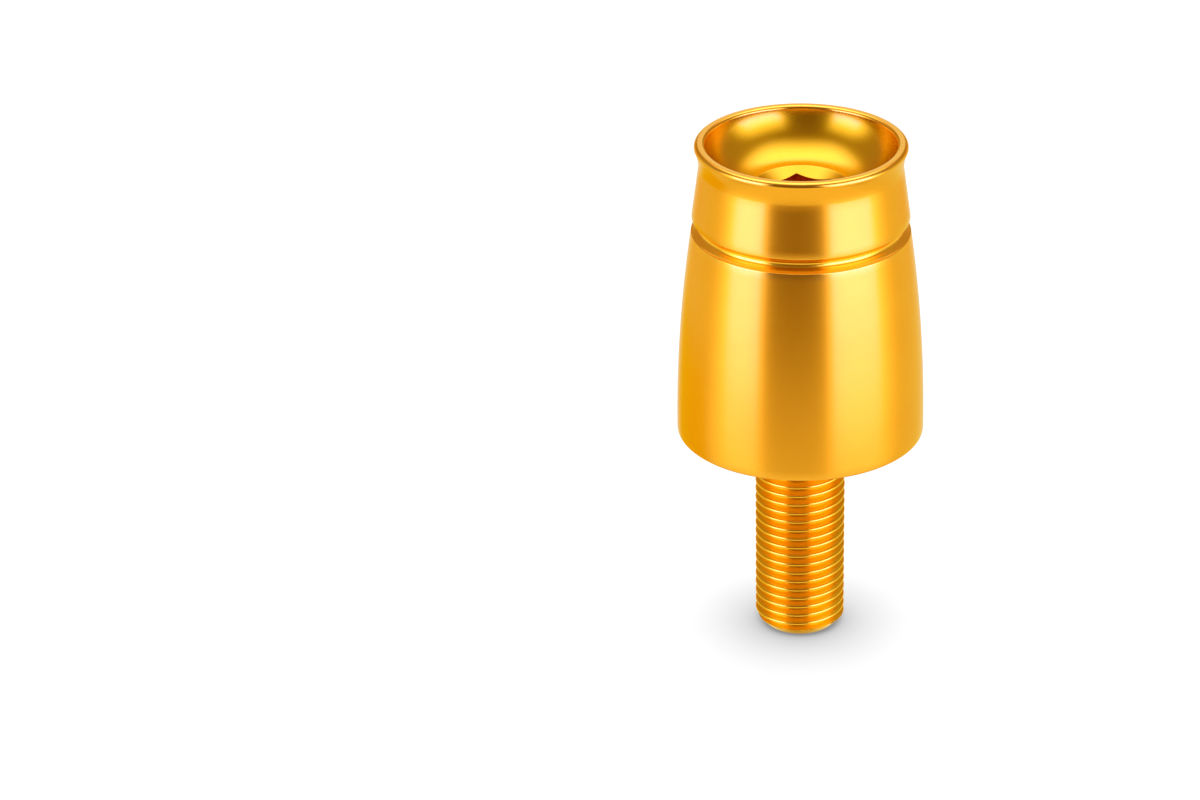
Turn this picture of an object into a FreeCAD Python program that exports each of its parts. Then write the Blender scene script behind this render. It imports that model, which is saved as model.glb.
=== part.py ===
import FreeCAD, Part
import math
import os

# Bar end weight: one piece turned from a bar, with a hexagonal socket in its dished end.
# Millimetres. The Z axis is the turning axis, and +Z points from the stud to the dished end.
# The origin is the centre of the stud's flat end, so the part stands on the plane z = 0.

# Stud that screws into the bar: nominal M14 x 1.5, shown at its major diameter.
STUD_R = 7.0
STUD_LENGTH = 34.0
STUD_CHAMFER = 1.5
RELIEF_DEPTH = 1.0
RELIEF_LENGTH = 2.0

# Weighted body above the stud: a barrel side that is upright at the shoulder.
BODY_R = 19.0
BODY_LENGTH = 33.1
BODY_EDGE = 0.3
BODY_TAPER = 2.35

# Round-bottomed decorative groove between the body and the collar.
GROOVE_WIDTH = 2.2
GROOVE_DEPTH = 1.0
GROOVE_BOTTOM_R = 0.7
GROOVE_EDGE = 0.15
GROOVE_STEP = 0.15

# Tapered collar above the groove, and the flared rim that ends it.
COLLAR_LENGTH = 8.1
COLLAR_TAPER = 1.1
FLARE_LENGTH = 3.8
RIM_OVERHANG = 0.65
RIM_ROUND = 0.6
RIM_ROUND_START = -35.0
RIM_WIDTH = 1.65
RIM_INNER_ROUND = 0.5

# Hexagonal socket for a 10 mm key, in a countersink, with the cone left by the drill below it.
HEX_FLATS = 10.0
HEX_DEPTH = 9.0
DRILL_GAP = 0.1
DRILL_ANGLE = 31.0
COUNTERSINK_EDGE = 1.2
COUNTERSINK_ANGLE = 30.0

# Dish in the end: a hollow of one arc, level where it meets the countersink.
DISH_DEPTH = 6.7

# Heights and radii that follow from the sizes above.
SHOULDER_Z = STUD_LENGTH
LIP_Z = SHOULDER_Z + BODY_LENGTH
LIP_R = BODY_R - BODY_TAPER
COLLAR_Z = LIP_Z + GROOVE_WIDTH
COLLAR_R = LIP_R - GROOVE_STEP
NECK_Z = COLLAR_Z + COLLAR_LENGTH
NECK_R = COLLAR_R - COLLAR_TAPER
RIM_TOP_Z = NECK_Z + FLARE_LENGTH
RIM_R = NECK_R + RIM_OVERHANG
HEX_CORNER_R = HEX_FLATS / math.sqrt(3.0)
DISH_FLOOR_R = HEX_CORNER_R + COUNTERSINK_EDGE
DISH_FLOOR_Z = RIM_TOP_Z - DISH_DEPTH
HEX_FLOOR_Z = DISH_FLOOR_Z - HEX_DEPTH


def vec(r, z):
    """A point of the profile, in the plane that holds the axis."""
    return FreeCAD.Vector(r, 0.0, z)


def line(p, q):
    """A straight edge of the profile."""
    return Part.makeLine(vec(*p), vec(*q))


def arc(p, m, q):
    """A round edge of the profile, from p through m to q."""
    return Part.Arc(vec(*p), vec(*m), vec(*q)).toShape()


def around(centre, radius, start, stop, pieces):
    """A round of the profile between two angles, as equal arcs that run smoothly end to end."""
    step = (stop - start) / pieces
    edges = []
    for i in range(pieces):
        a = start + i * step
        ends = [on_circle(centre, radius, a + k * step) for k in (0.0, 0.5, 1.0)]
        edges.append(arc(*ends))
    return edges


def on_circle(centre, radius, degrees):
    """The point of a circle at an angle counted from the +r direction towards +z."""
    a = math.radians(degrees)
    return (centre[0] + radius * math.cos(a), centre[1] + radius * math.sin(a))


def stud_edges():
    """Flat end, end chamfer, major diameter, the thread's relief, shoulder and its broken edge."""
    relief_low = SHOULDER_Z - RELIEF_LENGTH
    points = [
        (0.0, 0.0),
        (STUD_R - STUD_CHAMFER, 0.0),
        (STUD_R, STUD_CHAMFER),
        (STUD_R, relief_low - RELIEF_DEPTH),
        (STUD_R - RELIEF_DEPTH, relief_low),
        (STUD_R - RELIEF_DEPTH, SHOULDER_Z),
        (BODY_R - BODY_EDGE, SHOULDER_Z),
        (BODY_R, SHOULDER_Z + BODY_EDGE),
    ]
    return [line(points[i], points[i + 1]) for i in range(len(points) - 1)], points[-1]


def body_edges(start):
    """The long barrel arc, upright at the shoulder, up to the lip of the groove."""
    lip = (LIP_R, LIP_Z - GROOVE_EDGE)
    rise = lip[1] - start[1]
    fall = start[0] - lip[0]
    radius = (rise * rise + fall * fall) / (2.0 * fall)
    bend = math.degrees(math.asin(rise / radius))
    return around((start[0] - radius, start[1]), radius, 0.0, bend, 3), lip


def groove_edges(start):
    """Groove between two broken edges: straight sides that run smoothly into a round bottom."""
    low = (LIP_R - GROOVE_EDGE, LIP_Z)
    high = (COLLAR_R - GROOVE_EDGE, COLLAR_Z)
    end = (COLLAR_R, COLLAR_Z + GROOVE_EDGE)
    # The bottom's centre lies on the line square to the groove's mouth, at its middle.
    half = 0.5 * math.hypot(high[0] - low[0], high[1] - low[1])
    sunk = GROOVE_DEPTH - GROOVE_BOTTOM_R
    turn = 180.0 + math.degrees(math.atan2(low[0] - high[0], high[1] - low[1]))
    middle = (0.5 * (low[0] + high[0]), 0.5 * (low[1] + high[1]))
    centre = on_circle(middle, sunk, turn)
    # Each side touches the bottom round this many degrees from its deepest point.
    touch = math.acos(GROOVE_BOTTOM_R / math.hypot(half, sunk))
    spread = 180.0 - math.degrees(math.atan2(half, sunk) + touch)
    bottom = around(centre, GROOVE_BOTTOM_R, turn + spread, turn - spread, 1)
    first = on_circle(centre, GROOVE_BOTTOM_R, turn + spread)
    last = on_circle(centre, GROOVE_BOTTOM_R, turn - spread)
    sides = [line(start, low), line(low, first)], [line(last, high), line(high, end)]
    return sides[0] + bottom + sides[1], end


def rim_edges(start):
    """Tapered collar, hollow flare and the rounded rim, up to the inner edge of the rim."""
    neck = (NECK_R, NECK_Z)
    bead = (RIM_R - RIM_ROUND, RIM_TOP_Z - RIM_ROUND)
    flare_end = on_circle(bead, RIM_ROUND, RIM_ROUND_START)
    # The flare's arc is upright at the neck and passes through the start of the round.
    out = flare_end[0] - neck[0]
    up = flare_end[1] - neck[1]
    flare_r = (out * out + up * up) / (2.0 * out)
    half = 0.5 * math.degrees(math.asin(up / flare_r))
    flare_mid = on_circle((neck[0] + flare_r, neck[1]), flare_r, 180.0 - half)
    bead_top = (bead[0], RIM_TOP_Z)
    inner_r = RIM_R - RIM_WIDTH
    inner = (inner_r + RIM_INNER_ROUND, RIM_TOP_Z - RIM_INNER_ROUND)
    inner_top = (inner[0], RIM_TOP_Z)
    inner_end = (inner_r, inner[1])
    edges = [line(start, neck), arc(neck, flare_mid, flare_end)]
    edges += around(bead, RIM_ROUND, RIM_ROUND_START, 90.0, 5)
    edges.append(line(bead_top, inner_top))
    edges += around(inner, RIM_INNER_ROUND, 90.0, 180.0, 2)
    return edges, inner_end


def dish_edges(start):
    """Dish arc, countersink cone and the axis."""
    floor = (DISH_FLOOR_R, DISH_FLOOR_Z)
    run = start[0] - floor[0]
    rise = start[1] - floor[1]
    radius = (run * run + rise * rise) / (2.0 * rise)
    centre = (floor[0], floor[1] + radius)
    end_angle = math.degrees(math.atan2(start[1] - centre[1], start[0] - centre[0]))
    cone_foot = (0.0, DISH_FLOOR_Z - DISH_FLOOR_R * math.tan(math.radians(COUNTERSINK_ANGLE)))
    hollow = around(centre, radius, end_angle, -90.0, 3)
    return hollow + [line(floor, cone_foot), line(cone_foot, (0.0, 0.0))]


def turned_blank():
    """The whole outline turned once round the axis."""
    edges, here = stud_edges()
    for build in (body_edges, groove_edges, rim_edges):
        more, here = build(here)
        edges += more
    edges += dish_edges(here)
    face = Part.Face(Part.Wire(edges))
    return face.revolve(FreeCAD.Vector(0, 0, 0), FreeCAD.Vector(0, 0, 1), 360.0)


def hex_socket():
    """Six-sided prism with two flats square to X, and the drill cone under it."""
    corners = []
    for i in range(7):
        a = math.radians(30.0 + 60.0 * i)
        x = HEX_CORNER_R * math.cos(a)
        y = HEX_CORNER_R * math.sin(a)
        corners.append(FreeCAD.Vector(x, y, HEX_FLOOR_Z))
    height = RIM_TOP_Z - HEX_FLOOR_Z
    prism = Part.Face(Part.makePolygon(corners)).extrude(FreeCAD.Vector(0, 0, height))
    drill_r = 0.5 * HEX_FLATS - DRILL_GAP
    cone_height = drill_r * math.tan(math.radians(DRILL_ANGLE))
    tip = FreeCAD.Vector(0, 0, HEX_FLOOR_Z - cone_height)
    cone = Part.makeCone(0.0, drill_r, cone_height, tip, FreeCAD.Vector(0, 0, 1))
    return prism.fuse(cone)


def main():
    os.makedirs("parts", exist_ok=True)
    shape = turned_blank().cut(hex_socket()).removeSplitter()
    solid = shape.Solids[0]
    solid.exportStep("parts/bar_end_weight.step")
    box = solid.BoundBox
    print("solids", len(shape.Solids), "valid", solid.isValid(), "faces", len(solid.Faces))
    print("volume mm3", round(solid.Volume, 1), "box", round(box.XLength, 3), round(box.YLength, 3),
          round(box.ZLength, 3))


main()
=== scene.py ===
# %% [markdown]
# # Bar end weight
# A bar end weight screws into the end of a motorbike's handlebar and damps its shake. This one is
# turned from one aluminium bar: a threaded stud, a heavy barrel, a groove, a tapered collar and a
# flared rim round a dish with a hexagonal socket. It is anodised gold all over.
#
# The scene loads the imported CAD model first. Its box says where everything is, in metres, with the
# turning axis on Z and the stud's flat end on z = 0.

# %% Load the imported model
import math

import bpy
import numpy as np
from mathutils import Matrix, Vector


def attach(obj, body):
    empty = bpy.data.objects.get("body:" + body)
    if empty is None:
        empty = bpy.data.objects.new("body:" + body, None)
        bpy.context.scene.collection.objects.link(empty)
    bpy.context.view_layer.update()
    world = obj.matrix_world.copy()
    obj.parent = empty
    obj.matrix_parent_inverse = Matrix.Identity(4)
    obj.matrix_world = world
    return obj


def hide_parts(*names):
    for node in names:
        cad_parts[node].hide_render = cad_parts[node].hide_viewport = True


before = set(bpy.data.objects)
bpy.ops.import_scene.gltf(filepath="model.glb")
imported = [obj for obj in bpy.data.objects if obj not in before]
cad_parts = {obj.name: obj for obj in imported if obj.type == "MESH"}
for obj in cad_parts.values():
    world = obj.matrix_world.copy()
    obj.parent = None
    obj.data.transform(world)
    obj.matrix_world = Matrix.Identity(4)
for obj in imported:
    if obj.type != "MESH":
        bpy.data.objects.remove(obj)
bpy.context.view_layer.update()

# %% [markdown]
# ## The outline, in millimetres
# A turned part is fully described by half of its section. The sizes below are those of the CAD
# model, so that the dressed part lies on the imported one. Where the CAD model has a plain broken
# edge, the outline here gets the small round that a lathe tool and the anodising bath leave.

# %% Sizes
MM = 0.001
STUD_R, STUD_LENGTH, STUD_CHAMFER = 7.0, 34.0, 1.5
RELIEF_DEPTH, RELIEF_LENGTH, RELIEF_COVE = 1.0, 2.0, 0.25
BODY_R, BODY_LENGTH, BODY_EDGE, BODY_TAPER = 19.0, 33.1, 0.3, 2.35
GROOVE_WIDTH, GROOVE_DEPTH, GROOVE_BOTTOM_R = 2.2, 1.0, 0.7
GROOVE_EDGE, GROOVE_STEP = 0.15, 0.15
COLLAR_LENGTH, COLLAR_TAPER, FLARE_LENGTH = 8.1, 1.1, 3.8
RIM_OVERHANG, RIM_ROUND, RIM_ROUND_START = 0.65, 0.6, -35.0
RIM_WIDTH, RIM_INNER_ROUND = 1.65, 0.5
HEX_FLATS, HEX_DEPTH, DRILL_GAP, DRILL_ANGLE = 10.0, 9.0, 0.1, 31.0
COUNTERSINK_EDGE, COUNTERSINK_ANGLE, DISH_DEPTH = 1.2, 30.0, 6.7

SHOULDER_Z = STUD_LENGTH
LIP_Z = SHOULDER_Z + BODY_LENGTH
LIP_R = BODY_R - BODY_TAPER
COLLAR_Z = LIP_Z + GROOVE_WIDTH
COLLAR_R = LIP_R - GROOVE_STEP
NECK_Z = COLLAR_Z + COLLAR_LENGTH
NECK_R = COLLAR_R - COLLAR_TAPER
RIM_TOP_Z = NECK_Z + FLARE_LENGTH
RIM_R = NECK_R + RIM_OVERHANG
RIM_INNER_R = RIM_R - RIM_WIDTH
HEX_CORNER_R = HEX_FLATS / math.sqrt(3.0)
FLOOR_R = HEX_CORNER_R + COUNTERSINK_EDGE
FLOOR_Z = RIM_TOP_Z - DISH_DEPTH
HEX_FLOOR_Z = FLOOR_Z - HEX_DEPTH
print("height", round(RIM_TOP_Z, 2), "mm, widest radius", BODY_R, "mm")

# %% Helpers for the outline


def straight(p, q, n):
    """n points along a straight edge, p left out and q kept: p plus equal steps towards q."""
    t = np.arange(1, n + 1)[:, None] / n
    return np.array(p) * (1 - t) + np.array(q) * t


def round_(centre, radius, start, stop, n):
    """n points of a circle after its start angle, up to its stop angle: centre + radius (cos, sin)."""
    a = np.radians(start + (stop - start) * np.arange(1, n + 1) / n)
    return np.array(centre) + radius * np.stack([np.cos(a), np.sin(a)], axis=1)


print("a quarter of a circle in 3 points ends at", round_((0, 0), 1.0, 0, 90, 3)[-1].round(3))

# %% [markdown]
# ## Barrel, groove, collar and rim
# The barrel is one long arc, upright at the shoulder. The groove has straight sides and a round
# bottom. The collar tapers, flares out and rolls over the rim. Each is a handful of arcs, so the
# outline is laid end to end from the relief under the shoulder to the inner edge of the rim. The
# last number of each step is its count of points: many on the long barrel, few on a small round.

# %% Outline of the outside


def outside_outline():
    """Points (r, z) from the top of the thread's relief to the inner edge of the rim."""
    relief_r = STUD_R - RELIEF_DEPTH
    cove_z = SHOULDER_Z - RELIEF_COVE
    parts = [straight((relief_r, SHOULDER_Z - RELIEF_LENGTH), (relief_r, cove_z), 3)]
    parts.append(round_((relief_r + RELIEF_COVE, cove_z), RELIEF_COVE, 180, 90, 4))
    parts.append(straight(parts[-1][-1], (BODY_R - BODY_EDGE, SHOULDER_Z), 6))
    parts.append(round_((BODY_R - BODY_EDGE, SHOULDER_Z + BODY_EDGE), BODY_EDGE, -90, 0, 6))
    # The barrel: the arc that is upright at its start and passes through the groove's lip.
    start = parts[-1][-1]
    rise, fall = LIP_Z - GROOVE_EDGE - start[1], start[0] - LIP_R
    radius = (rise**2 + fall**2) / (2 * fall)
    bend = math.degrees(math.asin(rise / radius))
    parts.append(round_((start[0] - radius, start[1]), radius, 0, bend, 28))
    parts.append(round_((LIP_R - GROOVE_EDGE, LIP_Z - GROOVE_EDGE), GROOVE_EDGE, bend, 90, 5))
    parts.append(groove_outline(parts[-1][-1]))
    parts.append(round_((COLLAR_R - GROOVE_EDGE, COLLAR_Z + GROOVE_EDGE), GROOVE_EDGE, -90, 0, 5))
    parts.append(straight(parts[-1][-1], (NECK_R, NECK_Z), 7))
    # The flare: an arc that is upright at the neck and ends where the rim's round starts.
    bead = (RIM_R - RIM_ROUND, RIM_TOP_Z - RIM_ROUND)
    flare_end = round_(bead, RIM_ROUND, RIM_ROUND_START, RIM_ROUND_START, 1)[0]
    out, up = flare_end[0] - NECK_R, flare_end[1] - NECK_Z
    flare_r = (out**2 + up**2) / (2 * out)
    turn = math.degrees(math.asin(up / flare_r))
    parts.append(round_((NECK_R + flare_r, NECK_Z), flare_r, 180, 180 - turn, 12))
    parts.append(round_(bead, RIM_ROUND, RIM_ROUND_START, 90, 12))
    inner = (RIM_INNER_R + RIM_INNER_ROUND, RIM_TOP_Z - RIM_INNER_ROUND)
    parts.append(straight(parts[-1][-1], (inner[0], RIM_TOP_Z), 2))
    parts.append(round_(inner, RIM_INNER_ROUND, 90, 180, 8))
    return np.concatenate(parts)


def groove_outline(low):
    """The groove: straight sides that touch a round bottom, from the lower lip to the upper one."""
    low, high = np.array(low), np.array((COLLAR_R - GROOVE_EDGE, COLLAR_Z))
    half, sunk = np.hypot(*(high - low)) / 2, GROOVE_DEPTH - GROOVE_BOTTOM_R
    turn = 180 + math.degrees(math.atan2(low[0] - high[0], high[1] - low[1]))
    facing = np.array((math.cos(math.radians(turn)), math.sin(math.radians(turn))))
    centre = (low + high) / 2 + sunk * facing
    touch = math.acos(GROOVE_BOTTOM_R / math.hypot(half, sunk))
    spread = 180 - math.degrees(math.atan2(half, sunk) + touch)
    first = round_(centre, GROOVE_BOTTOM_R, turn + spread, turn + spread, 1)[0]
    bottom = round_(centre, GROOVE_BOTTOM_R, turn + spread, turn - spread, 12)
    return np.concatenate([straight(low, first, 3), bottom, straight(bottom[-1], high, 3)])


outside = outside_outline()
print("outside outline:", len(outside), "points, top at", round(outside[:, 1].max(), 3), "mm")

# %% [markdown]
# ## Dish and hexagonal socket
# The dish is one arc that runs out level into a shallow countersink. The socket below it is the
# one form that isn't round: at each angle round the axis its wall stands at
# flats / 2 / cos(angle from the middle of the flat). Every row of the surface is therefore a whole
# ring of radii and heights, and a round row is a ring with one radius. Rows lie close together
# beside an edge, which keeps its shading crisp.

# %% Rings of the part
COLUMNS = 144
angle = 2 * np.pi * np.arange(COLUMNS) / COLUMNS
DRILL_R = HEX_FLATS / 2 - DRILL_GAP
DRILL_SLOPE = math.tan(math.radians(DRILL_ANGLE))


def rings(outline):
    """Each point (r, z) of an outline as a full ring: radii and heights, one row per point."""
    return np.repeat(outline[:, :1], COLUMNS, 1), np.repeat(outline[:, 1:], COLUMNS, 1)


def hexagon(at):
    """Distance of a hexagon's side from the axis at the angles `at`; two flats are square to X."""
    from_flat = (at + np.pi / 6) % (np.pi / 3) - np.pi / 6
    return HEX_FLATS / 2 / np.cos(from_flat)


def inside_rings():
    """Rings from the inner edge of the rim down the dish and the socket to the drill's tip."""
    start = np.array((RIM_INNER_R, RIM_TOP_Z - RIM_INNER_ROUND))
    run, rise = start[0] - FLOOR_R, start[1] - FLOOR_Z
    radius = (run**2 + rise**2) / (2 * rise)
    first = math.degrees(math.atan2(start[1] - FLOOR_Z - radius, run))
    r, z = rings(round_((FLOOR_R, FLOOR_Z + radius), radius, first, -90, 34))
    side = hexagon(angle)
    slope = math.tan(math.radians(COUNTERSINK_ANGLE))
    rows = []
    # Down the countersink, down the six walls, in over the socket's floor, down the drill's cone.
    for t in (0.03, 0.3, 0.65, 0.96, 1.0):
        ring = FLOOR_R + (side - FLOOR_R) * t
        rows.append((ring, FLOOR_Z - (FLOOR_R - ring) * slope))
    top = rows[-1][1]
    for t in (0.02, 0.25, 0.5, 0.75, 0.97, 1.0):
        rows.append((side, top + (HEX_FLOOR_Z - top) * t))
    for t in (0.5, 0.95, 1.0):
        rows.append((side + (DRILL_R - side) * t, np.full(COLUMNS, HEX_FLOOR_Z)))
    for t in (0.1, 0.6, 0.97):
        depth = DRILL_R * DRILL_SLOPE * t
        rows.append((np.full(COLUMNS, DRILL_R * (1 - t)), np.full(COLUMNS, HEX_FLOOR_Z - depth)))
    return np.concatenate([r, [row[0] for row in rows]]), np.concatenate([z, [row[1] for row in rows]])


r_out, z_out = rings(outside)
r_in, z_in = inside_rings()
body_r, body_z = np.concatenate([r_out, r_in]), np.concatenate([z_out, z_in])
print("body rings:", body_r.shape)

# %% [markdown]
# ## Thread on the stud
# The stud carries an M14 x 1.5 thread. A thread isn't a stack of rings: it climbs one pitch in one
# turn. The surface could be a screwed profile from a modifier, but then its ends have to be cut
# off. Here the grid itself is sheared: row j at angle a lies at
# z = start + pitch (phase of row j + a / full turn), so each row follows the ridge. The radius
# depends on the row alone. At both ends the height is held at the end's plane and the radius under
# the chamfer's cone, so the ridge runs out there as it does on the real stud.

# %% Thread grid
PITCH = 1.5
CREST_R, ROOT_R = 6.97, 6.08
# The height at which the middle of a root crosses the side that faces the camera.
THREAD_FRONT_Z = 27.28
CAMERA_TURN = math.radians(7.4)

# Half a pitch, from the middle of a root: (share of the pitch, share of the thread's height).
rising = [
    (0.000, 0.00), (0.040, 0.04), (0.080, 0.14), (0.140, 0.31), (0.220, 0.54), (0.310, 0.80),
    (0.345, 0.885), (0.380, 0.938), (0.415, 0.972), (0.455, 0.992),
]
falling = [(1 - share, height) for share, height in reversed(rising[1:])]
ridge = np.array(rising + [(0.5, 1.0)] + falling)
ROWS = len(ridge)


def thread_grid():
    """Radii and heights of the sheared rows, and how near each point is to the ridge's top."""
    # The share of a full turn, counted from +X, at which the stud faces the camera.
    front = (1.5 * np.pi - CAMERA_TURN) / (2 * np.pi)
    start = THREAD_FRONT_Z - PITCH * front
    # Whole pitches lower, so that every column starts below the flat end.
    start -= PITCH * (math.ceil(start / PITCH) + 2)
    top = SHOULDER_Z - RELIEF_LENGTH
    turns = math.ceil((top - start) / PITCH) + 1
    row = np.arange(ROWS * turns)
    phase, height = ridge[row % ROWS, 0] + row // ROWS, ridge[row % ROWS, 1]
    z = start + PITCH * (phase[:, None] + angle / (2 * np.pi))
    r = np.repeat((ROOT_R + (CREST_R - ROOT_R) * height)[:, None], COLUMNS, 1)
    z = np.clip(z, 0.0, top)
    # The ridge stays under the end's chamfer and under the 45 degree slope into the relief.
    r = np.minimum(r, STUD_R - STUD_CHAMFER + z)
    r = np.minimum(r, STUD_R - RELIEF_DEPTH + top - z)
    return r, z, np.repeat(height[:, None], COLUMNS, 1)


thread_r, thread_z, thread_top = thread_grid()
print("thread rows:", thread_r.shape[0], "by", COLUMNS, "columns")

# %% [markdown]
# ## One closed skin
# The stud's flat end, the sheared thread and the body's rings are laid out as one list of points.
# Where the thread runs out, its rows lie on top of one another, so points in the same place are
# made one and faces without area are dropped. What is left is one closed skin without a seam.

# %% Faces of a grid


def cells(a, b, c, d):
    """Triangles a b c and a c d for arrays of corners."""
    halves = np.stack([np.stack([a, b, c], -1), np.stack([a, c, d], -1)])
    return halves.reshape(-1, 3)


def ring_faces(rows, first):
    """Two triangles for each cell of a closed grid of rings, facing outwards as the rows go up."""
    row, column = np.meshgrid(np.arange(rows - 1), np.arange(COLUMNS), indexing="ij")
    here = first + row * COLUMNS + column
    beside = first + row * COLUMNS + (column + 1) % COLUMNS
    return cells(here, beside, beside + COLUMNS, here + COLUMNS)


def thread_faces(rows, first):
    """As ring_faces, but past the last column a row goes on as the row one full turn higher."""
    row, column = np.meshgrid(np.arange(rows - 1), np.arange(COLUMNS), indexing="ij")
    step = np.where(column == COLUMNS - 1, ROWS, 0)
    whole = row + 1 + step < rows
    row, column, step = row[whole], column[whole], step[whole]
    here = first + row * COLUMNS + column
    beside = first + (row + step) * COLUMNS + (column + 1) % COLUMNS
    return cells(here, beside, beside + COLUMNS, here + COLUMNS)


print("two rings of", COLUMNS, "points are joined by", len(ring_faces(2, 0)), "triangles")

# %% Weld the grids into one mesh
END_RADII = (0.6, 2.6, 4.6, 5.4, STUD_R - STUD_CHAMFER)
# Points that agree when counted in steps of 1/100000 mm are the same point.
WELD_STEPS_PER_MM = 1e5

end_r, end_z = rings(np.array([(r, 0.0) for r in END_RADII]))
neck_r, neck_z = rings(np.array([(STUD_R - RELIEF_DEPTH, SHOULDER_Z - RELIEF_LENGTH)]))
upper_r, upper_z = np.concatenate([neck_r, body_r]), np.concatenate([neck_z, body_z])
grids = [(end_r, end_z), (thread_r, thread_z), (upper_r, upper_z)]
radii = np.concatenate([g[0] for g in grids])
heights = np.concatenate([g[1] for g in grids])
points = np.stack([radii * np.cos(angle), radii * np.sin(angle), heights], -1).reshape(-1, 3)
points = np.concatenate([points, [(0, 0, 0), (0, 0, HEX_FLOOR_Z - DRILL_R * DRILL_SLOPE)]])

ends, threads, uppers = (g[0].shape[0] for g in grids)
low_pole, high_pole = len(points) - 2, len(points) - 1
column = np.arange(COLUMNS)
following = (column + 1) % COLUMNS
last = (ends + threads + uppers - 1) * COLUMNS
faces = np.concatenate([
    np.stack([following, column, np.full(COLUMNS, low_pole)], -1),
    ring_faces(ends, 0),
    thread_faces(threads, ends * COLUMNS),
    ring_faces(uppers, (ends + threads) * COLUMNS),
    np.stack([last + column, last + following, np.full(COLUMNS, high_pole)], -1),
])
steps = np.round(points * WELD_STEPS_PER_MM).astype(np.int64)
_, kept, joined = np.unique(steps, axis=0, return_index=True, return_inverse=True)
faces = joined.reshape(-1)[faces]
solid = (faces[:, 0] != faces[:, 1]) & (faces[:, 1] != faces[:, 2]) & (faces[:, 0] != faces[:, 2])
faces, points = faces[solid], points[kept]
print("closed skin:", len(points), "points,", len(faces), "triangles")

# %% [markdown]
# ## What the finish needs to know about the shape
# The grain left by the lathe runs round the part, so it follows the distance along the outline
# (`run`, in millimetres), on flat ends and in the dish too. The anodised colour is thinnest on
# outside edges (`edge`, from 0 to 1). Both are kept on the mesh's points, and the materials read
# them by name.

# %% Measures along the outline
# The stud's end, the thread, the body and the drill's tip each start at a `run` of their own.
THREAD_RUN, BODY_RUN, TIP_RUN = 6.0, 40.0, 200.0
CREST_WEAR, CREST_SHARPNESS = 0.8, 6


def along(r, z):
    """Distance along each column from its first row: the running sum of the steps' lengths."""
    step = np.hypot(np.diff(r, axis=0), np.diff(z, axis=0))
    return np.concatenate([np.zeros((1, r.shape[1])), np.cumsum(step, axis=0)])


def soft_spot(r, z, place, width):
    """A soft mask round a place (r, z) of the outline: exp(-(distance / width) squared)."""
    return np.exp(-(((r - place[0]) ** 2 + (z - place[1]) ** 2) / width**2))


def edge_mask(r, z):
    """Nearness to each outside edge of the body, the strongest one at every point.

    Each entry is the middle of an edge's round, which lies a little inside its sharp corner, and
    the width of the mask there, all in millimetres.
    """
    places = [
        ((BODY_R - 0.09, SHOULDER_Z + 0.09), 0.3),
        ((LIP_R - 0.05, LIP_Z - 0.05), 0.16),
        ((COLLAR_R - 0.05, COLLAR_Z + 0.05), 0.16),
        ((RIM_R - 0.17, RIM_TOP_Z - 0.17), 0.4),
        ((RIM_INNER_R + 0.15, RIM_TOP_Z - 0.15), 0.35),
    ]
    return np.max([soft_spot(r, z, place, width) for place, width in places], axis=0)


thread_run, body_run = thread_z + THREAD_RUN, along(upper_r, upper_z) + BODY_RUN
crests, corners = thread_top**CREST_SHARPNESS * CREST_WEAR, edge_mask(upper_r, upper_z)
runs = np.concatenate([end_r.ravel(), thread_run.ravel(), body_run.ravel(), [0.0, TIP_RUN]])[kept]
edges = np.concatenate([np.zeros(end_r.size), crests.ravel(), corners.ravel(), [0.0, 0.0]])[kept]
print("run from", round(runs.min(), 1), "to", round(runs.max(), 1), "mm; edge up to", round(edges.max(), 2))

# %% Make the mesh
SHARP_ANGLE = math.radians(38)

mesh = bpy.data.meshes.new("turned_weight")
mesh.vertices.add(len(points))
mesh.vertices.foreach_set("co", (points * MM).astype(np.float32).ravel())
mesh.loops.add(len(faces) * 3)
mesh.loops.foreach_set("vertex_index", faces.astype(np.int32).ravel())
mesh.polygons.add(len(faces))
mesh.polygons.foreach_set("loop_start", np.arange(0, len(faces) * 3, 3, dtype=np.int32))
mesh.update(calc_edges=True)
mesh.validate()
mesh.shade_smooth()
mesh.set_sharp_from_angle(angle=SHARP_ANGLE)
for name, values in (("run", runs), ("edge", edges)):
    layer = mesh.attributes.new(name, "FLOAT", "POINT")
    layer.data.foreach_set("value", values.astype(np.float32))

weight = bpy.data.objects.new("turned_weight", mesh)
bpy.context.scene.collection.objects.link(weight)
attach(weight, "root")
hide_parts("bar_end_weight")
print("piece:", weight.name, len(mesh.polygons), "faces")

# %% [markdown]
# ## Shared effects
# Every finish on this part is the same gold anodising over a different cut, so two effects are
# built once as node groups. The first is the lathe's grain: fine rings that follow the outline,
# with a faint satin etch over them. The second is the dye: slightly uneven over the part, and paler
# where an edge is worn.

# %% Node helpers
FLOAT, COLOUR = "NodeSocketFloat", "NodeSocketColor"


def put(tree, kind, **values):
    """A node of one kind. A word with _ before it names a property of the node, i0, i1 and so on
    an input by its number, and any other word an input by its name. An input is linked to the
    socket given for it, or set to the value."""
    node = tree.nodes.new(kind)
    for name, value in values.items():
        if name.startswith("_"):
            setattr(node, name[1:], value)
            continue
        key = int(name[1:]) if name[0] == "i" and name[1:].isdigit() else name.replace("_", " ")
        if isinstance(value, bpy.types.NodeSocket):
            tree.links.new(value, node.inputs[key])
        else:
            node.inputs[key].default_value = value
    return node


def calc(tree, operation, *values):
    """The result of one Math node."""
    inputs = {f"i{n}": value for n, value in enumerate(values)}
    return put(tree, "ShaderNodeMath", _operation=operation, **inputs).outputs[0]


def ramp(tree, value, low, high, to_low=0.0, to_high=1.0):
    """A smooth step from to_low to to_high as value goes from low to high."""
    return put(tree, "ShaderNodeMapRange", _interpolation_type="SMOOTHSTEP",
               i0=value, i1=low, i2=high, i3=to_low, i4=to_high).outputs[0]


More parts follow.
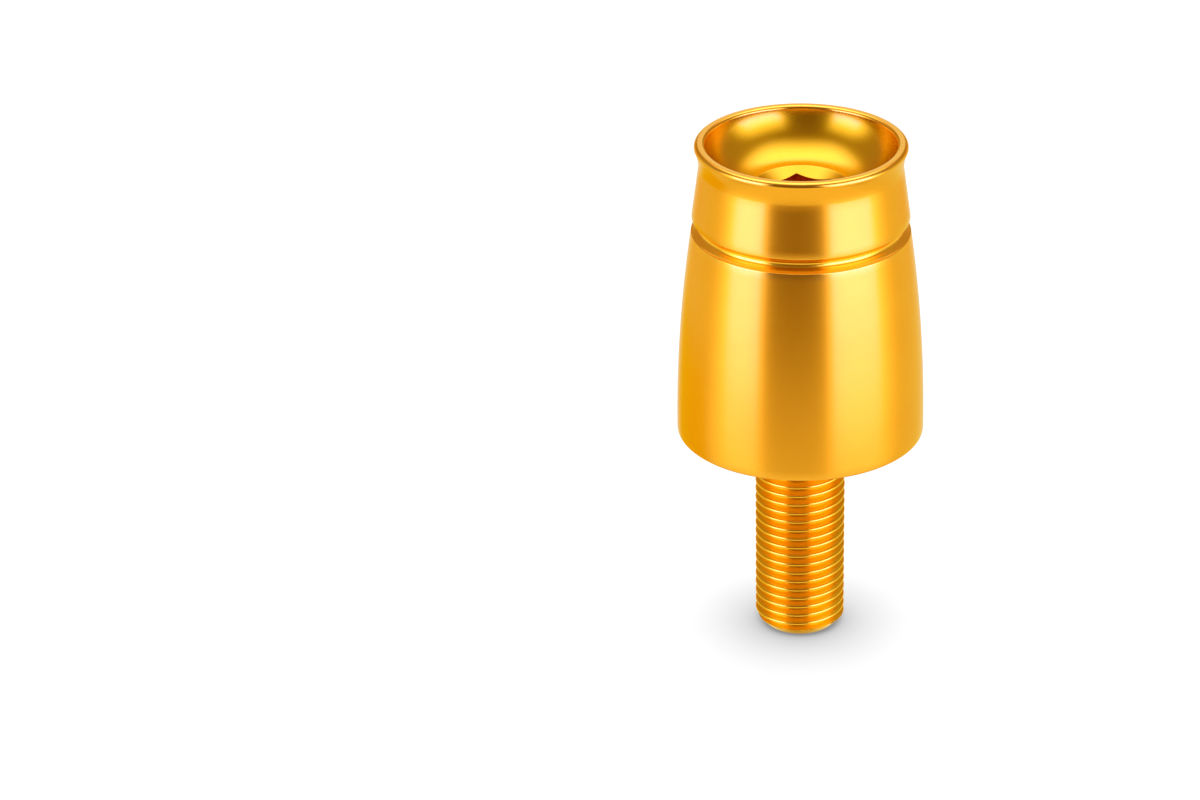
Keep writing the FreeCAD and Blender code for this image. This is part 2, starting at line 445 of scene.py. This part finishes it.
def band(tree, value, low, high, soft_low, soft_high):
    """1 between low and high, falling smoothly to 0 over a soft width outside each."""
    rise = ramp(tree, value, low - soft_low, low)
    return calc(tree, "MULTIPLY", rise, ramp(tree, value, high, high + soft_high, 1.0, 0.0))


def over(tree, under, level, mask):
    """The number `under`, replaced by `level` where the mask is 1."""
    return put(tree, "ShaderNodeMix", _data_type="FLOAT", i0=mask, i2=under, i3=level).outputs[0]


def tint(tree, under, tone, mask):
    """The colour `under`, replaced by `tone` where the mask is 1."""
    return put(tree, "ShaderNodeMix", _data_type="RGBA", i0=mask, i6=under, i7=tone).outputs[2]


def noise(tree, scale, detail, **more):
    """Noise from 0 to 1, of `scale` cells per unit with `detail` finer octaves."""
    return put(tree, "ShaderNodeTexNoise", Scale=scale, Detail=detail, **more).outputs["Fac"]


def centred(tree, value):
    """A value from 0 to 1 moved down by one half, so that it swings about zero."""
    return calc(tree, "SUBTRACT", value, 0.5)


def group(name, inputs, outputs):
    """A new node group with named sockets: its tree, its inputs and its outputs."""
    tree = bpy.data.node_groups.new(name, "ShaderNodeTree")
    for direction, sockets in (("INPUT", inputs), ("OUTPUT", outputs)):
        for label, kind in sockets.items():
            tree.interface.new_socket(name=label, in_out=direction, socket_type=kind)
    return tree, tree.nodes.new("NodeGroupInput").outputs, tree.nodes.new("NodeGroupOutput").inputs


print("node helpers: put, calc, ramp, band, over, tint, noise, centred, group")

# %% Lathe grain group
DRIFT_CELLS, DRIFT_SHARE = 60.0, 0.25
BROAD_PER_MM, ETCH_CELLS = 0.9, 5200.0
RING_HEIGHT, BROAD_SHARE = 0.04, 1.2


def lathe_grain():
    """Rings: noise in one dimension, of run times rings per mm. Etch: fine noise in space.

    Height = RING_HEIGHT (fine - 1/2) + Etch (etch - 1/2).
    Streak = BROAD_SHARE (broad - 1/2) + (fine - 1/2).
    """
    tree, given, made = group("lathe_grain", {"Rings per mm": FLOAT, "Etch": FLOAT},
                              {"Height": FLOAT, "Streak": FLOAT})
    run = put(tree, "ShaderNodeAttribute", _attribute_name="run").outputs["Fac"]
    place = tree.nodes.new("ShaderNodeTexCoord").outputs["Object"]
    # A slow drift in space keeps the rings from being perfect circles.
    drift = noise(tree, DRIFT_CELLS, 1.0, Vector=place)
    count = calc(tree, "MULTIPLY", run, given["Rings per mm"])
    line = calc(tree, "MULTIPLY_ADD", drift, DRIFT_SHARE, count)
    fine = centred(tree, noise(tree, 1.0, 2.0, _noise_dimensions="1D", W=line))
    wide = calc(tree, "MULTIPLY", run, BROAD_PER_MM)
    broad = centred(tree, noise(tree, 1.0, 3.0, _noise_dimensions="1D", W=wide))
    etch = centred(tree, noise(tree, ETCH_CELLS, 1.0, Vector=place))
    etched = calc(tree, "MULTIPLY", etch, given["Etch"])
    tree.links.new(calc(tree, "MULTIPLY_ADD", fine, RING_HEIGHT, etched), made["Height"])
    tree.links.new(calc(tree, "MULTIPLY_ADD", broad, BROAD_SHARE, fine), made["Streak"])
    return tree


grain_group = lathe_grain()
print("group:", grain_group.name, "of", len(grain_group.nodes), "nodes")

# %% Gold dye group
BLOTCH_CELLS, WEAR_CELLS = 70.0, 900.0
STREAK_IN_TONE, STREAK_IN_ROUGHNESS = 0.2, 0.008


def gold_dye():
    """Colour: the dye's tone, drifting between two shades, and mixed to a paler one on edges.

    Roughness: the given one, a little changed by the streaks, and the edge's own one on edges.
    """
    tree, given, made = group("gold_dye", {
        "Tone": COLOUR, "Deep tone": COLOUR, "Worn tone": COLOUR, "Wear": FLOAT,
        "Streak": FLOAT, "Roughness": FLOAT, "Edge roughness": FLOAT,
    }, {"Color": COLOUR, "Roughness": FLOAT})
    place = tree.nodes.new("ShaderNodeTexCoord").outputs["Object"]
    blotch = ramp(tree, noise(tree, BLOTCH_CELLS, 3.0, Vector=place, Roughness=0.6), 0.35, 0.65)
    drift = calc(tree, "ADD", blotch, calc(tree, "MULTIPLY", given["Streak"], STREAK_IN_TONE))
    shade = tint(tree, given["Deep tone"], given["Tone"], drift)
    edge = put(tree, "ShaderNodeAttribute", _attribute_name="edge").outputs["Fac"]
    patchy = ramp(tree, noise(tree, WEAR_CELLS, 2.0, Vector=place), 0.3, 0.6, 0.5, 1.0)
    worn = calc(tree, "MULTIPLY", calc(tree, "MULTIPLY", edge, patchy), given["Wear"])
    tree.links.new(tint(tree, shade, given["Worn tone"], worn), made["Color"])
    rough = calc(tree, "MULTIPLY_ADD", given["Streak"], STREAK_IN_ROUGHNESS, given["Roughness"])
    tree.links.new(over(tree, rough, given["Edge roughness"], edge), made["Roughness"])
    return tree


dye_group = gold_dye()
print("group:", dye_group.name, "of", len(dye_group.nodes), "nodes")

# %% [markdown]
# ## Six cuts, one anodising
# The barrel and collar are satin with a soft turned grain. The rim is cut last and brighter, and so
# is the groove, whose paler tone is painted light in the groove. The dish is turned from the middle
# outwards, and its darker tone is painted shade in its hollow. The socket is broached, and its
# deeper tone is painted shade in the deep hole. The thread is rolled, with bright crests, and its
# paler tone is painted light on its flanks. Each material places the two groups with its own
# values. The hard, clear oxide over the dye is the shader's coat: it gives the whiter sheen of the
# highlights and of the sides seen at a glancing angle.

# %% Materials
GOLD, GOLD_DEEP = (0.850, 0.372, 0.0055, 1.0), (0.835, 0.352, 0.0045, 1.0)
# The groove gets a paler tone than the barrel: painted light in the groove.
LIT_GROOVE_GOLD, LIT_GROOVE_GOLD_DEEP = (0.990, 0.500, 0.012, 1.0), (0.970, 0.470, 0.010, 1.0)
# The thread gets a paler tone than the barrel: painted light on its flanks under the body.
LIT_THREAD_GOLD, LIT_THREAD_GOLD_DEEP = (0.890, 0.455, 0.004, 1.0), (0.860, 0.425, 0.003, 1.0)
# The dish gets a darker tone than the barrel: painted shade in its hollow.
SHADED_DISH_GOLD, SHADED_DISH_GOLD_DEEP = (0.710, 0.360, 0.002, 1.0), (0.690, 0.340, 0.0015, 1.0)
# The socket gets a darker, redder tone than the barrel: painted shade in the deep hole.
SHADED_SOCKET_GOLD, SHADED_SOCKET_GOLD_DEEP = (0.780, 0.280, 0.004, 1.0), (0.680, 0.210, 0.003, 1.0)
GOLD_WORN = (0.900, 0.480, 0.050, 1.0)
OXIDE_IOR, OXIDE_ROUGHNESS = 1.6, 0.14
GLANCING_TINT = (1.0, 0.95, 0.35, 1.0)


def gold_finish(name, per_mm, depth, etch, rough, edge_rough, wear=0.4, tone=GOLD, deep=GOLD_DEEP, coat=0.18):
    """A gold anodised metal with per_mm rings of grain to the millimetre and depth as the grain's
    height in metres. coat is the weight of the clear oxide."""
    made = bpy.data.materials.new(name)
    made.use_nodes = True
    tree = made.node_tree
    shader = tree.nodes["Principled BSDF"]
    shader.inputs["Metallic"].default_value = 1.0
    shader.inputs["Coat Weight"].default_value = coat
    shader.inputs["Coat Roughness"].default_value = OXIDE_ROUGHNESS
    shader.inputs["Coat IOR"].default_value = OXIDE_IOR
    shader.inputs["Specular Tint"].default_value = GLANCING_TINT
    grain = put(tree, "ShaderNodeGroup", _node_tree=grain_group, Rings_per_mm=per_mm, Etch=etch)
    dye = put(tree, "ShaderNodeGroup", _node_tree=dye_group, Tone=tone, Deep_tone=deep,
              Worn_tone=GOLD_WORN, Wear=wear, Streak=grain.outputs["Streak"],
              Roughness=rough, Edge_roughness=edge_rough)
    bump = put(tree, "ShaderNodeBump", Strength=1.0, Distance=depth, Height=grain.outputs["Height"])
    tree.links.new(dye.outputs["Color"], shader.inputs["Base Color"])
    tree.links.new(dye.outputs["Roughness"], shader.inputs["Roughness"])
    tree.links.new(bump.outputs["Normal"], shader.inputs["Normal"])
    return made


finishes = [
    gold_finish("satin_turned_gold", per_mm=5.0, depth=0.6e-6, etch=1.6, rough=0.27, edge_rough=0.18),
    gold_finish("bright_cut_gold", per_mm=7.0, depth=0.25e-6, etch=0.5, rough=0.20, edge_rough=0.15,
                wear=0.5),
    gold_finish("dish_turned_shaded_gold", per_mm=5.0, depth=0.6e-6, etch=1.6, rough=0.27, edge_rough=0.18,
                tone=SHADED_DISH_GOLD, deep=SHADED_DISH_GOLD_DEEP),
    gold_finish("broached_socket_shaded_gold", per_mm=2.0, depth=1.5e-6, etch=0.5, rough=0.33, edge_rough=0.25,
                tone=SHADED_SOCKET_GOLD, deep=SHADED_SOCKET_GOLD_DEEP),
    gold_finish("rolled_thread_lit_gold", per_mm=9.0, depth=0.4e-6, etch=0.6, rough=0.30, edge_rough=0.14,
                wear=0.5, tone=LIT_THREAD_GOLD, deep=LIT_THREAD_GOLD_DEEP, coat=0.10),
    gold_finish("groove_cut_lit_gold", per_mm=7.0, depth=0.25e-6, etch=0.5, rough=0.20, edge_rough=0.15,
                tone=LIT_GROOVE_GOLD, deep=LIT_GROOVE_GOLD_DEEP, coat=0.3),
]
SATIN, BRIGHT, DISH, BROACHED, ROLLED, GROOVE = range(len(finishes))
for finish in finishes:
    mesh.materials.append(finish)

# %% Which face got which cut
# A radius that lies between the socket and the outer skin, and a reach that takes in the drill's
# cone below the socket's floor and the countersink below the dish's floor.
BETWEEN_R, CONE_REACH, COUNTERSINK_REACH = 12.0, 4.0, 3.0
# Slack in millimetres for face centres that lie on a border.
SLACK, SOCKET_SLACK = 0.001, 0.004

centre = points[faces].mean(axis=1)
centre_r = np.hypot(centre[:, 0], centre[:, 1])
height = centre[:, 2]
flare_end_z = RIM_TOP_Z - RIM_ROUND * (1 - math.sin(math.radians(RIM_ROUND_START)))
past_lips = (height > LIP_Z - GROOVE_EDGE) & (height < COLLAR_Z + GROOVE_EDGE)
socket_wall = hexagon(np.arctan2(centre[:, 1], centre[:, 0]))
cut = np.full(len(faces), SATIN, dtype=np.int32)
cut[(height > flare_end_z) & (centre_r > RIM_INNER_R + SLACK)] = BRIGHT
cut[past_lips & (centre_r > BETWEEN_R)] = GROOVE
cut[(height > FLOOR_Z - COUNTERSINK_REACH) & (centre_r < RIM_INNER_R + SLACK)] = DISH
cut[(height > HEX_FLOOR_Z - CONE_REACH) & (centre_r < socket_wall + SOCKET_SLACK)] = BROACHED
cut[height < SHOULDER_Z - RELIEF_LENGTH] = ROLLED
mesh.polygons.foreach_set("material_index", cut)
mesh.update()
print("faces by cut:", np.bincount(cut, minlength=len(finishes)))

# %% [markdown]
# ## A light tent
# A polished part shows its surroundings, so its look is mostly made by what stands round it. The
# photograph shows two tall soft panels left and right, a darker gap between them where the camera
# stands, a soft panel overhead and a white room behind. That is drawn here as the world that
# reflections see: brightness by direction, from smooth steps of the angle round the part and of the
# height above the horizon.
#
# The colour follows the brightness, as it does on film: dim parts of the tent are warm, and the
# brightest parts are cool, so the gold is amber in its shades and pale in its highlights. Some
# places have a tone of their own as well: the overhead panel and the far wall are cool, dusk in the
# far corners browns the ends of the groove and the sides of the dish, a golden glow lies low behind
# on the left, and the floor behind the part is a dim rose. The camera sees plain white, and the
# floor sees an even, weak light.

# %% Places and levels in the tent
# Angles are in degrees: `side` round the part from the camera, positive to the right, `away` the
# same without its sign, and `up` over the horizon. A fade is (from, to), and then (level before,
# level after) where those aren't 0 and 1. A lift is a fade that is added to the one beside it. A
# band is (low, high, softness below, softness above).
GAP_FADE, GAP_LIFT = (-36.0, -3.0, 1.12, 0.205), (10.0, 60.0, 0.0, 0.12)
ROOM_FADE, ROOM_AWAY = (-8.0, 16.0, 0.98, 0.52), (70.0, 100.0)
WALL_AWAY, WALL_UP, WALL_LEVEL = (164.0, 178.0), (0.0, 30.0, 10.0, 8.0), 1.05
PANEL_FADE, PANEL_LIFT = (-38.0, -8.0, 1.1, 2.5), (-6.0, 6.0, 0.0, 0.8)
PANEL_RIGHT, PANEL_LEFT = (33.0, 74.0, 11.0, 30.0), (-67.0, -42.0, 32.0, 10.0)
PANEL_UP = (-28.0, 4.0, 9.0, 52.0)
# Above the horizon, the right panel stands a few degrees nearer to the camera.
PANEL_LEAN = (0.0, 14.0, 0.0, 6.0)
OVERHEAD_UP, OVERHEAD_LEVEL = (15.0, 30.0), 2.9
# The overhead panel is flat, so its bands are in metres aside per metre of rise. The least rise
# keeps that division finite at the horizon.
OVERHEAD_X, OVERHEAD_Y, LEAST_RISE = (-0.85, -0.4, 0.65, 1.0), (-0.3, 0.3, 0.55, 0.55), 0.05
UNDER_AWAY, UNDER_UP, UNDER_LEVEL = (80.0, 120.0), (-48.0, -60.0), 0.56
GLOW_SIDE, GLOW_UP = (-150.0, -104.0, 10.0, 12.0), (-36.0, -23.0, 4.0, 4.0)
DUSK_AWAY, DUSK_UP = (145.0, 162.0, 20.0, 12.0), (-16.0, 35.0, 6.0, 15.0)
CAMERA_LEVEL, FLOOR_LEVEL = 1.0, 0.10
print("a side panel is up to", PANEL_FADE[3] + PANEL_LIFT[3], "times as bright as the camera's white")

# %% Tones in the tent
# Warm where the level is low. Cool where it is high, in a panel's core, from 5 degrees down.
WARM_FADE = (1.1, 0.2)
COOL_FADE, COOL_CORE, COOL_UP = (1.3, 3.0), (0.7, 1.0), (35.0, 5.0)
WHITE, WARM, COOL = (1.0, 1.0, 1.0, 1.0), (1.0, 0.72, 0.45, 1.0), (1.0, 1.0, 8.0, 1.0)
OVERHEAD_TONE, WALL_TONE = (1.0, 1.0, 2.2, 1.0), (1.0, 1.05, 3.0, 1.0)
GLOW_TONE, DUSK_TONE = (0.97, 0.76, 0.01, 1.0), (1.0, 0.66, 0.45, 1.0)
UNDER_TONE = (1.0, 0.83, 1.2, 1.0)
print("blue of warm and cool places, next to red:", WARM[2], COOL[2])

# %% World


def tent():
    """Brightness: the room, with the side panels, the overhead panel and the floor laid over it."""
    world = bpy.data.worlds.new("light_tent")
    bpy.context.scene.world = world
    world.use_nodes = True
    world.cycles.sampling_method = "NONE"
    tree = world.node_tree
    tree.nodes.clear()

    def times(a, b):
        return calc(tree, "MULTIPLY", a, b)

    # After the turn, +x points at the camera and +y to the right of the picture.
    direction = tree.nodes.new("ShaderNodeTexCoord").outputs["Generated"]
    turned = put(tree, "ShaderNodeVectorRotate", _rotation_type="Z_AXIS", Vector=direction,
                 Angle=CAMERA_TURN + math.pi / 2)
    x, y, z = put(tree, "ShaderNodeSeparateXYZ", Vector=turned.outputs[0]).outputs
    side = times(calc(tree, "ARCTAN2", y, x), 180 / math.pi)
    away = calc(tree, "ABSOLUTE", side)
    up = times(calc(tree, "ARCSINE", z), 180 / math.pi)

    gap = calc(tree, "ADD", ramp(tree, up, *GAP_FADE), ramp(tree, up, *GAP_LIFT))
    wall = times(ramp(tree, away, *WALL_AWAY), band(tree, up, *WALL_UP))
    room = over(tree, ramp(tree, up, *ROOM_FADE), WALL_LEVEL, wall)
    whole = over(tree, gap, room, ramp(tree, away, *ROOM_AWAY))

    level = calc(tree, "ADD", ramp(tree, up, *PANEL_FADE), ramp(tree, up, *PANEL_LIFT))
    leaning = calc(tree, "ADD", side, ramp(tree, up, *PANEL_LEAN))
    across = calc(tree, "ADD", band(tree, leaning, *PANEL_RIGHT), band(tree, side, *PANEL_LEFT))
    whole = over(tree, whole, level, times(across, band(tree, up, *PANEL_UP)))

    rise = calc(tree, "MAXIMUM", z, LEAST_RISE)
    flat_x, flat_y = calc(tree, "DIVIDE", x, rise), calc(tree, "DIVIDE", y, rise)
    overhead = times(band(tree, flat_x, *OVERHEAD_X), band(tree, flat_y, *OVERHEAD_Y))
    overhead = times(overhead, ramp(tree, up, *OVERHEAD_UP))
    whole = over(tree, whole, OVERHEAD_LEVEL, overhead)
    under = times(ramp(tree, away, *UNDER_AWAY), ramp(tree, up, *UNDER_UP))
    whole = over(tree, whole, UNDER_LEVEL, under)

    path = tree.nodes.new("ShaderNodeLightPath").outputs
    reflected = calc(tree, "MAXIMUM", path["Is Glossy Ray"], path["Is Transmission Ray"])
    strength = over(tree, FLOOR_LEVEL, whole, reflected)
    strength = over(tree, strength, CAMERA_LEVEL, path["Is Camera Ray"])

    cool = times(ramp(tree, whole, *COOL_FADE), ramp(tree, across, *COOL_CORE))
    cool = times(cool, ramp(tree, up, *COOL_UP))
    glow = times(band(tree, side, *GLOW_SIDE), band(tree, up, *GLOW_UP))
    dusk = times(band(tree, away, *DUSK_AWAY), band(tree, up, *DUSK_UP))
    layers = [
        (ramp(tree, whole, *WARM_FADE), WARM), (cool, COOL), (overhead, OVERHEAD_TONE),
        (glow, GLOW_TONE), (dusk, DUSK_TONE), (wall, WALL_TONE), (under, UNDER_TONE),
    ]
    colour = WHITE
    for mask, tone in layers:
        colour = tint(tree, colour, tone, times(mask, reflected))
    background = put(tree, "ShaderNodeBackground", Color=colour, Strength=strength)
    out = tree.nodes.new("ShaderNodeOutputWorld")
    tree.links.new(background.outputs[0], out.inputs[0])
    return world


print("world:", tent().name)

# %% [markdown]
# ## Floor
# The part stands on its stud on a white sweep. The floor catches the soft shadow under it and is
# otherwise as white as the room. Close to the stud it is a little darker still, a painted contact
# shadow in its glow, as paper is where hardly any sky reaches it. It is kept out of the metal's
# reflections, where the panels go on below the part.

# %% Floor
PAPER = (0.84, 0.84, 0.845, 1.0)
PAPER_GLOW, CONTACT_REACH = 0.75, 0.012


def white_floor(half=3.0):
    """A flat square on z = 0 that glows a little for the camera, so that lit paper reads as white.

    The glow is PAPER_GLOW times the share of the sky that is open within CONTACT_REACH metres,
    so it is dimmed next to the stud: a painted contact shadow.
    """
    sheet = bpy.data.meshes.new("floor")
    corners = [(-half, -half, 0), (half, -half, 0), (half, half, 0), (-half, half, 0)]
    sheet.from_pydata(corners, [], [(0, 1, 2, 3)])
    floor = bpy.data.objects.new("floor", sheet)
    bpy.context.scene.collection.objects.link(floor)
    paper = bpy.data.materials.new("white_paper")
    paper.use_nodes = True
    tree = paper.node_tree
    shader = tree.nodes["Principled BSDF"]
    shader.inputs["Base Color"].default_value = PAPER
    shader.inputs["Roughness"].default_value = 1.0
    shader.inputs["Specular IOR Level"].default_value = 0.0
    shader.inputs["Emission Color"].default_value = WHITE
    seen = tree.nodes.new("ShaderNodeLightPath").outputs["Is Camera Ray"]
    # Painted contact shadow: the glow is dimmed where the part hides the nearby sky.
    open_sky = put(tree, "ShaderNodeAmbientOcclusion", Distance=CONTACT_REACH, _samples=8).outputs["AO"]
    glow = calc(tree, "MULTIPLY", calc(tree, "MULTIPLY", seen, open_sky), PAPER_GLOW)
    tree.links.new(glow, shader.inputs["Emission Strength"])
    sheet.materials.append(paper)
    floor.visible_glossy = False
    floor.visible_transmission = False
    return floor


print("floor:", white_floor().name)

# %% [markdown]
# A wide square lamp above gives the floor its light and the soft shadow under the part. The metal
# already shows the panels, so this lamp is left out of its reflections, and the floor takes no gold
# glow from the metal.

# %% Lamp over the floor
LAMP_HEIGHT, LAMP_WIDTH, LAMP_LEAN, LAMP_LEVEL = 0.8, 1.2, 0.3, 0.50


def floor_lamp():
    """A square that gives a white floor the level LAMP_LEVEL: power = pi area level / share of sky."""
    share = LAMP_WIDTH**2 / (math.pi * LAMP_HEIGHT**2 * (1 + LAMP_LEAN**2) ** 2)
    data = bpy.data.lights.new("floor_lamp", "AREA")
    data.shape, data.size = "SQUARE", LAMP_WIDTH
    data.energy = math.pi * LAMP_WIDTH**2 * LAMP_LEVEL / share
    lamp = bpy.data.objects.new("floor_lamp", data)
    bpy.context.scene.collection.objects.link(lamp)
    back = LAMP_LEAN * LAMP_HEIGHT
    lamp.location = (back * math.sin(CAMERA_TURN), back * math.cos(CAMERA_TURN), LAMP_HEIGHT)
    lamp.visible_camera = lamp.visible_glossy = lamp.visible_transmission = False
    weight.visible_diffuse = False
    return lamp


print("lamp of", round(floor_lamp().data.energy, 2), "W")

# %% [markdown]
# ## Camera
# The photograph looks down on the part at about 26 degrees from 0.59 m away through a long lens.
# The part stands right of the picture's middle, yet upright, which is a shifted lens and not a
# turned camera. The remaining lean of a fifth of a degree is a roll.

# %% Camera
CAMERA_HEIGHT = math.radians(26.36)
DISTANCE, AIM_HEIGHT = 0.591, 0.03828
PICTURE_WIDTH, FOCAL_PIXELS, PART_COLUMN = 1200, 3833.0, 800.4
ROLL = math.radians(0.19)


def photo_camera():
    """Camera at aim + distance (direction to it), level sideways but for the roll."""
    toward = Vector((-math.sin(CAMERA_TURN) * math.cos(CAMERA_HEIGHT),
                     -math.cos(CAMERA_TURN) * math.cos(CAMERA_HEIGHT), math.sin(CAMERA_HEIGHT)))
    data = bpy.data.cameras.new("camera")
    data.sensor_width = 36.0
    data.lens = FOCAL_PIXELS / PICTURE_WIDTH * data.sensor_width
    data.shift_x = (PICTURE_WIDTH / 2 - PART_COLUMN) / PICTURE_WIDTH
    data.clip_start = 0.01
    camera = bpy.data.objects.new("camera", data)
    turn = toward.to_track_quat("Z", "Y").to_matrix().to_4x4() @ Matrix.Rotation(ROLL, 4, "Z")
    camera.matrix_world = Matrix.Translation(Vector((0, 0, AIM_HEIGHT)) + DISTANCE * toward) @ turn
    bpy.context.scene.collection.objects.link(camera)
    bpy.context.scene.camera = camera
    return camera


print("camera at", [round(v, 3) for v in photo_camera().matrix_world.translation])

# %% [markdown]
# ## Colours
# The colours are shown as they are, without a film look.

# %% Finish
bpy.context.scene.view_settings.view_transform = "Standard"
